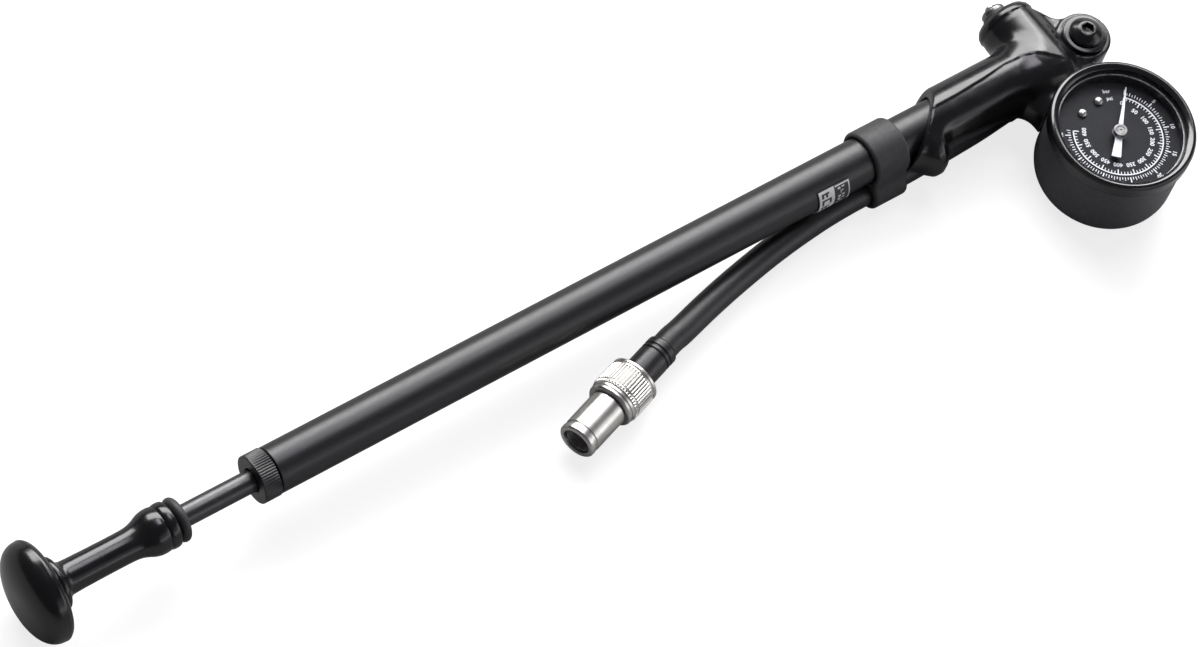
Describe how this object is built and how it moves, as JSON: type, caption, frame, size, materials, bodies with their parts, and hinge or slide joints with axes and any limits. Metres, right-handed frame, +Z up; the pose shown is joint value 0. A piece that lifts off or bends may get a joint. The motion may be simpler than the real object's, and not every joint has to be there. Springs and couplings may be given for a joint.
{
  "type": "shock suspension pump",
  "caption": "High-pressure hand pump for bicycle suspension, with a slim barrel, a round pressure gauge on its head and a flexible hose with a screw-on valve chuck.",
  "frame": {"origin": "under the middle of the pump without its hose, on the surface that it lies on", "axes": "+X along the barrel from the handle to the head, +Z up through the gauge's face, the gauge and the free end of the hose on the -Y side"},
  "size_m": [0.363, 0.0786, 0.0295],
  "materials": {
    "gloss_black": "polished",
    "anodised_black": "black anodised, satin",
    "black_steel": "black oxide, smooth",
    "case_black": "satin black paint",
    "rubber": "matte",
    "nickel": "bright nickel plate",
    "steel": "plain",
    "brass": "plain",
    "dial_black": "matt black print",
    "white_print": "matt white",
    "clear_lens": "clear"
  },
  "bodies": {
    "pump_body": {"barrel": "anodised_black", "barrel_label": "white_print", "bleed_valve_body": "nickel", "bourdon_tube": "brass", "check_valve_seat": "brass", "chuck_stem": "brass", "dial_stop_pin_left": "nickel", "dial_stop_pin_right": "nickel", "end_cap": "anodised_black", "gauge_bezel": "gloss_black", "gauge_case": "case_black", "gauge_dial": "dial_black", "gauge_lens": "clear_lens", "gauge_stem": "brass", "head": "gloss_black", "head_seal": "rubber", "hose": "rubber", "hose_ferrule_chuck": "anodised_black", "hose_ferrule_head": "anodised_black", "lens_gasket": "rubber", "movement_frame": "brass", "rod_bush": "brass", "rod_wiper": "rubber", "swivel_bolt": "black_steel", "swivel_fitting": "nickel", "swivel_seal_lower": "rubber", "swivel_seal_upper": "rubber", "swivel_washer": "black_steel", "valve_depressor": "brass"},
    "plunger": {"piston_ring": "rubber"},
    "handle": {"piston_rod": "black_steel", "piston": "gloss_black", "piston_nut": "steel", "handle_grip": "gloss_black", "knob": "gloss_black", "handle_bumper": "rubber"},
    "check_valve": {"check_valve_poppet": "rubber", "check_valve_spring": "steel"},
    "bleed_button": {"bleed_button": "nickel", "bleed_spring": "steel"},
    "pointer": {"pointer": "white_print", "pointer_shaft": "steel", "pointer_pinion": "brass"},
    "sector": {"sector_gear": "brass", "sector_arbor": "steel"},
    "link": {"tube_link": "brass"},
    "keeper": {"hose_keeper": "rubber"},
    "chuck": {"chuck_nose": "nickel", "chuck_collar": "nickel", "chuck_seal": "rubber"}
  },
  "joints": [
    {"name": "plunger_slide", "type": "slide", "parent": "pump_body", "child": "plunger", "axis": [-1, 0, 0], "range_m": [-0.0214, 0.194]},
    {"name": "handle_turn", "type": "hinge", "parent": "plunger", "child": "handle", "pos_m": [-0.10985, 0.01425, 0.015], "axis": [1, 0, 0], "continuous": true},
    {"name": "check_valve_lift", "type": "slide", "parent": "pump_body", "child": "check_valve", "axis": [1, 0, 0], "range_m": [0, 0.001], "stiffness_N_per_m": 60, "springref_m": -0.001, "deforming": ["check_valve_spring"]},
    {"name": "bleed_press", "type": "slide", "parent": "pump_body", "child": "bleed_button", "axis": [0, -1, 0], "range_m": [0, 0.0015], "stiffness_N_per_m": 600, "springref_m": -0.0015, "deforming": ["bleed_spring"]},
    {"name": "sector_turn", "type": "hinge", "parent": "pump_body", "child": "sector", "pos_m": [0.15807, -0.0279, 0.015], "axis": [0, 0, 1], "range_deg": [0, 52], "stiffness_Nm_per_rad": 0.0004, "springref_deg": -11.46},
    {"name": "pointer_sweep", "type": "hinge", "parent": "pump_body", "child": "pointer", "pos_m": [0.15975, -0.01835, 0.015], "axis": [0, 0, -1], "range_deg": [0, 260]},
    {"name": "link_turn", "type": "hinge", "parent": "sector", "child": "link", "pos_m": [0.15754, -0.03086, 0.015], "axis": [0, 0, -1], "range_deg": [0, 52]},
    {"name": "keeper_slide", "type": "slide", "parent": "pump_body", "child": "keeper", "axis": [1, 0, 0], "range_m": [-0.004, 0]},
    {"name": "chuck_turn", "type": "hinge", "parent": "pump_body", "child": "chuck", "pos_m": [-0.02491, -0.01659, 0.00745], "axis": [-0.9532, -0.3024, 0], "continuous": true}
  ],
  "couplings": [
    {"joint": "pointer_sweep", "follows": "sector_turn", "ratio": 5},
    {"joint": "link_turn", "follows": "sector_turn", "ratio": 1}
  ]
}
